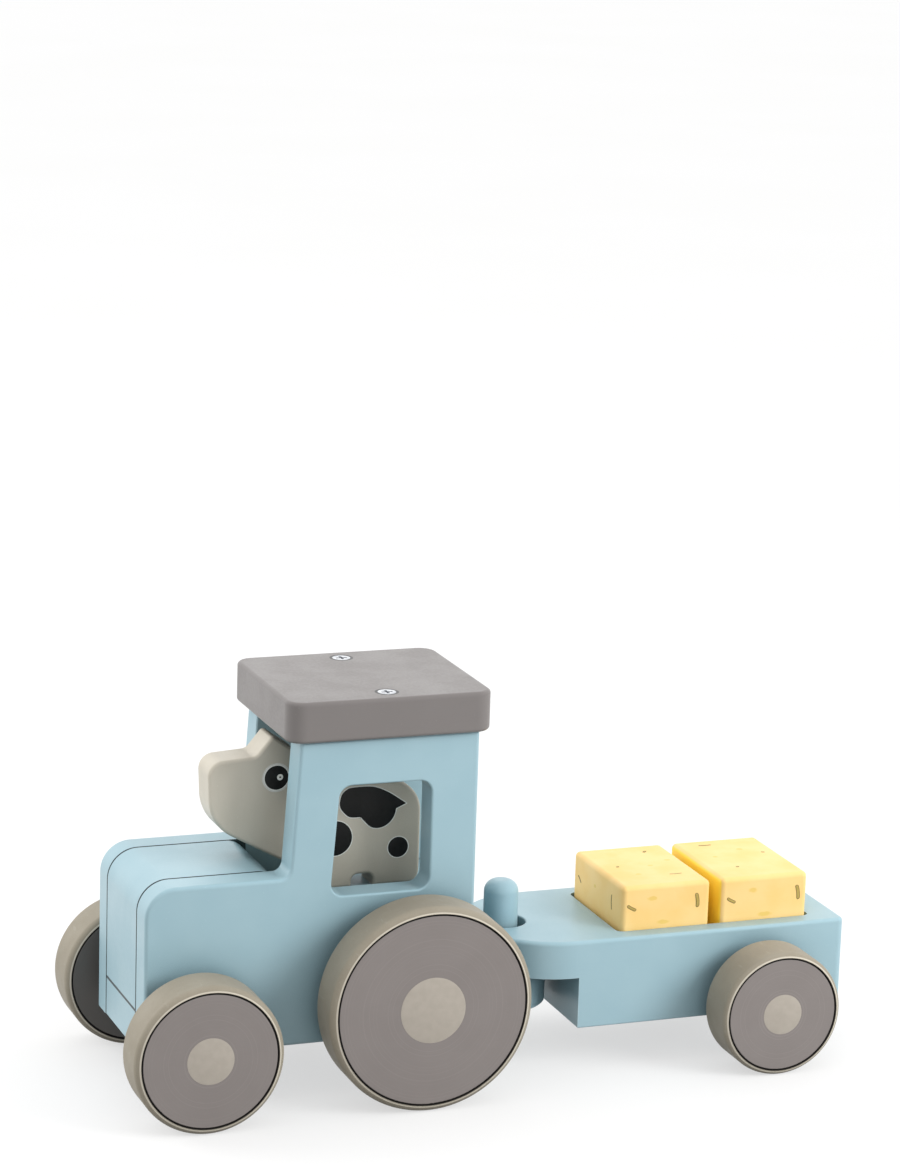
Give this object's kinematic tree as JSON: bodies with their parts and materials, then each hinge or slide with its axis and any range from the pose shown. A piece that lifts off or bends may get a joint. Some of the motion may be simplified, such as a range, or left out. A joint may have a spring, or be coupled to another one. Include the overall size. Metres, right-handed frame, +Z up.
{
  "type": "toy tractor",
  "caption": "Wooden toy tractor with an open cab, a flat calf figure as driver, big rear wheels, a hitch peg and a hook-on trailer that carries loose straw bales.",
  "frame": {"origin": "on the ground under the middle of the outer box, on the middle plane", "axes": "+X points back, from the tractor's nose towards the trailer's tail; +Y points to the tractor's right-hand side; +Z up"},
  "size_m": [0.3034, 0.121, 0.1585],
  "materials": {
    "blue_paint": "satin paint",
    "grey_paint": "satin paint",
    "mauve_paint": "satin paint",
    "cream_paint": "satin paint",
    "straw_paint": "matte paint",
    "bare_wood": "sanded beech",
    "tyre_rubber": "matte",
    "steel": "zinc plated"
  },
  "bodies": {
    "tractor": {"side_panel_left": "blue_paint", "side_panel_right": "blue_paint", "hood_block": "blue_paint", "cab_block": "blue_paint", "base_board": "blue_paint", "roof_board": "grey_paint", "roof_screws": "steel", "base_screws": "steel", "panel_dowels": "bare_wood", "hitch_peg": "blue_paint", "calf_figure": "cream_paint", "calf_dowels": "bare_wood"},
    "front_wheelset": {"front_axle": "steel", "front_spacers": "bare_wood", "front_wheel_disc_left": "mauve_paint", "front_tyre_left": "tyre_rubber", "front_wheel_disc_right": "mauve_paint", "front_tyre_right": "tyre_rubber"},
    "rear_wheelset": {"rear_axle": "steel", "rear_spacers": "bare_wood", "rear_wheel_disc_left": "mauve_paint", "rear_tyre_left": "tyre_rubber", "rear_wheel_disc_right": "mauve_paint", "rear_tyre_right": "tyre_rubber"},
    "trailer": {"trailer_body": "blue_paint"},
    "trailer_wheelset": {"trailer_axle": "steel", "trailer_spacers": "bare_wood", "trailer_wheel_disc_left": "mauve_paint", "trailer_tyre_left": "tyre_rubber", "trailer_wheel_disc_right": "mauve_paint", "trailer_tyre_right": "tyre_rubber"},
    "front_bale": {"bale_front": "straw_paint"},
    "rear_bale": {"bale_rear": "straw_paint"}
  },
  "joints": [
    {"name": "front_axle_spin", "type": "hinge", "parent": "tractor", "child": "front_wheelset", "pos_m": [-0.1225, 0, 0.02925], "axis": [0, 1, 0], "continuous": true},
    {"name": "rear_axle_spin", "type": "hinge", "parent": "tractor", "child": "rear_wheelset", "pos_m": [-0.0345, 0, 0.041], "axis": [0, 1, 0], "continuous": true},
    {"name": "hitch_swing", "type": "hinge", "parent": "tractor", "child": "trailer", "pos_m": [0.0155, 0, 0.046], "axis": [0, 0, 1], "range_deg": [-45, 45]},
    {"name": "trailer_axle_spin", "type": "hinge", "parent": "trailer", "child": "trailer_wheelset", "pos_m": [0.113, 0, 0.02525], "axis": [0, 1, 0], "continuous": true},
    {"name": "front_bale_lift", "type": "slide", "parent": "trailer", "child": "front_bale", "axis": [0, 0, 1], "range_m": [0, 0.03]},
    {"name": "rear_bale_lift", "type": "slide", "parent": "trailer", "child": "rear_bale", "axis": [0, 0, 1], "range_m": [0, 0.03]}
  ]
}
